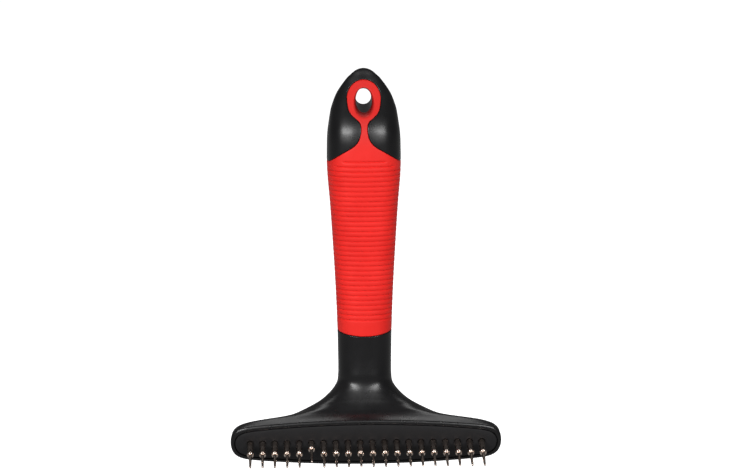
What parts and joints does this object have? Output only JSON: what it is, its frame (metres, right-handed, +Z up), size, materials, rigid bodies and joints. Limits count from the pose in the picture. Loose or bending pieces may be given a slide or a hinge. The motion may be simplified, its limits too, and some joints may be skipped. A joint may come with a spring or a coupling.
{
  "type": "undercoat rake",
  "caption": "T-shaped pet grooming rake: black handle with soft ribbed red grip and a hanging hole, wide head with one row of long turning steel teeth.",
  "frame": {"origin": "centre of the hanging hole, in the middle of the handle's thickness", "axes": "+Z up the handle towards its rounded end, +X across the head's width, -Y the side that the teeth point to"},
  "size_m": [0.1036, 0.0476, 0.1511],
  "materials": {
    "black_plastic": "glossy moulded",
    "red_rubber": "satin soft-touch, ribbed",
    "plate_plastic": "satin moulded",
    "tooth_steel": "polished, turned"
  },
  "bodies": {
    "handle": {"handle_body": "black_plastic", "soft_grip": "red_rubber", "tooth_plate": "plate_plastic"},
    "tooth_01": {"tooth_01": "tooth_steel"},
    "tooth_02": {"tooth_02": "tooth_steel"},
    "tooth_03": {"tooth_03": "tooth_steel"},
    "tooth_04": {"tooth_04": "tooth_steel"},
    "tooth_05": {"tooth_05": "tooth_steel"},
    "tooth_06": {"tooth_06": "tooth_steel"},
    "tooth_07": {"tooth_07": "tooth_steel"},
    "tooth_08": {"tooth_08": "tooth_steel"},
    "tooth_09": {"tooth_09": "tooth_steel"},
    "tooth_10": {"tooth_10": "tooth_steel"},
    "tooth_11": {"tooth_11": "tooth_steel"},
    "tooth_12": {"tooth_12": "tooth_steel"},
    "tooth_13": {"tooth_13": "tooth_steel"},
    "tooth_14": {"tooth_14": "tooth_steel"},
    "tooth_15": {"tooth_15": "tooth_steel"},
    "tooth_16": {"tooth_16": "tooth_steel"},
    "tooth_17": {"tooth_17": "tooth_steel"},
    "tooth_18": {"tooth_18": "tooth_steel"},
    "tooth_19": {"tooth_19": "tooth_steel"},
    "tooth_20": {"tooth_20": "tooth_steel"}
  },
  "joints": [
    {"name": "tooth_01_spin", "type": "hinge", "parent": "handle", "child": "tooth_01", "pos_m": [-0.04417, -0.017, -0.13043], "axis": [0, -0.9848, -0.1736], "continuous": true},
    {"name": "tooth_02_spin", "type": "hinge", "parent": "handle", "child": "tooth_02", "pos_m": [-0.03952, -0.017, -0.13043], "axis": [0, -0.9848, -0.1736], "continuous": true},
    {"name": "tooth_03_spin", "type": "hinge", "parent": "handle", "child": "tooth_03", "pos_m": [-0.03488, -0.017, -0.13043], "axis": [0, -0.9848, -0.1736], "continuous": true},
    {"name": "tooth_04_spin", "type": "hinge", "parent": "handle", "child": "tooth_04", "pos_m": [-0.03022, -0.017, -0.13043], "axis": [0, -0.9848, -0.1736], "continuous": true},
    {"name": "tooth_05_spin", "type": "hinge", "parent": "handle", "child": "tooth_05", "pos_m": [-0.02558, -0.017, -0.13043], "axis": [0, -0.9848, -0.1736], "continuous": true},
    {"name": "tooth_06_spin", "type": "hinge", "parent": "handle", "child": "tooth_06", "pos_m": [-0.02092, -0.017, -0.13043], "axis": [0, -0.9848, -0.1736], "continuous": true},
    {"name": "tooth_07_spin", "type": "hinge", "parent": "handle", "child": "tooth_07", "pos_m": [-0.01628, -0.017, -0.13043], "axis": [0, -0.9848, -0.1736], "continuous": true},
    {"name": "tooth_08_spin", "type": "hinge", "parent": "handle", "child": "tooth_08", "pos_m": [-0.01162, -0.017, -0.13043], "axis": [0, -0.9848, -0.1736], "continuous": true},
    {"name": "tooth_09_spin", "type": "hinge", "parent": "handle", "child": "tooth_09", "pos_m": [-0.00698, -0.017, -0.13043], "axis": [0, -0.9848, -0.1736], "continuous": true},
    {"name": "tooth_10_spin", "type": "hinge", "parent": "handle", "child": "tooth_10", "pos_m": [-0.00232, -0.017, -0.13043], "axis": [0, -0.9848, -0.1736], "continuous": true},
    {"name": "tooth_11_spin", "type": "hinge", "parent": "handle", "child": "tooth_11", "pos_m": [0.00232, -0.017, -0.13043], "axis": [0, -0.9848, -0.1736], "continuous": true},
    {"name": "tooth_12_spin", "type": "hinge", "parent": "handle", "child": "tooth_12", "pos_m": [0.00698, -0.017, -0.13043], "axis": [0, -0.9848, -0.1736], "continuous": true},
    {"name": "tooth_13_spin", "type": "hinge", "parent": "handle", "child": "tooth_13", "pos_m": [0.01162, -0.017, -0.13043], "axis": [0, -0.9848, -0.1736], "continuous": true},
    {"name": "tooth_14_spin", "type": "hinge", "parent": "handle", "child": "tooth_14", "pos_m": [0.01628, -0.017, -0.13043], "axis": [0, -0.9848, -0.1736], "continuous": true},
    {"name": "tooth_15_spin", "type": "hinge", "parent": "handle", "child": "tooth_15", "pos_m": [0.02092, -0.017, -0.13043], "axis": [0, -0.9848, -0.1736], "continuous": true},
    {"name": "tooth_16_spin", "type": "hinge", "parent": "handle", "child": "tooth_16", "pos_m": [0.02558, -0.017, -0.13043], "axis": [0, -0.9848, -0.1736], "continuous": true},
    {"name": "tooth_17_spin", "type": "hinge", "parent": "handle", "child": "tooth_17", "pos_m": [0.03022, -0.017, -0.13043], "axis": [0, -0.9848, -0.1736], "continuous": true},
    {"name": "tooth_18_spin", "type": "hinge", "parent": "handle", "child": "tooth_18", "pos_m": [0.03488, -0.017, -0.13043], "axis": [0, -0.9848, -0.1736], "continuous": true},
    {"name": "tooth_19_spin", "type": "hinge", "parent": "handle", "child": "tooth_19", "pos_m": [0.03952, -0.017, -0.13043], "axis": [0, -0.9848, -0.1736], "continuous": true},
    {"name": "tooth_20_spin", "type": "hinge", "parent": "handle", "child": "tooth_20", "pos_m": [0.04417, -0.017, -0.13043], "axis": [0, -0.9848, -0.1736], "continuous": true}
  ]
}
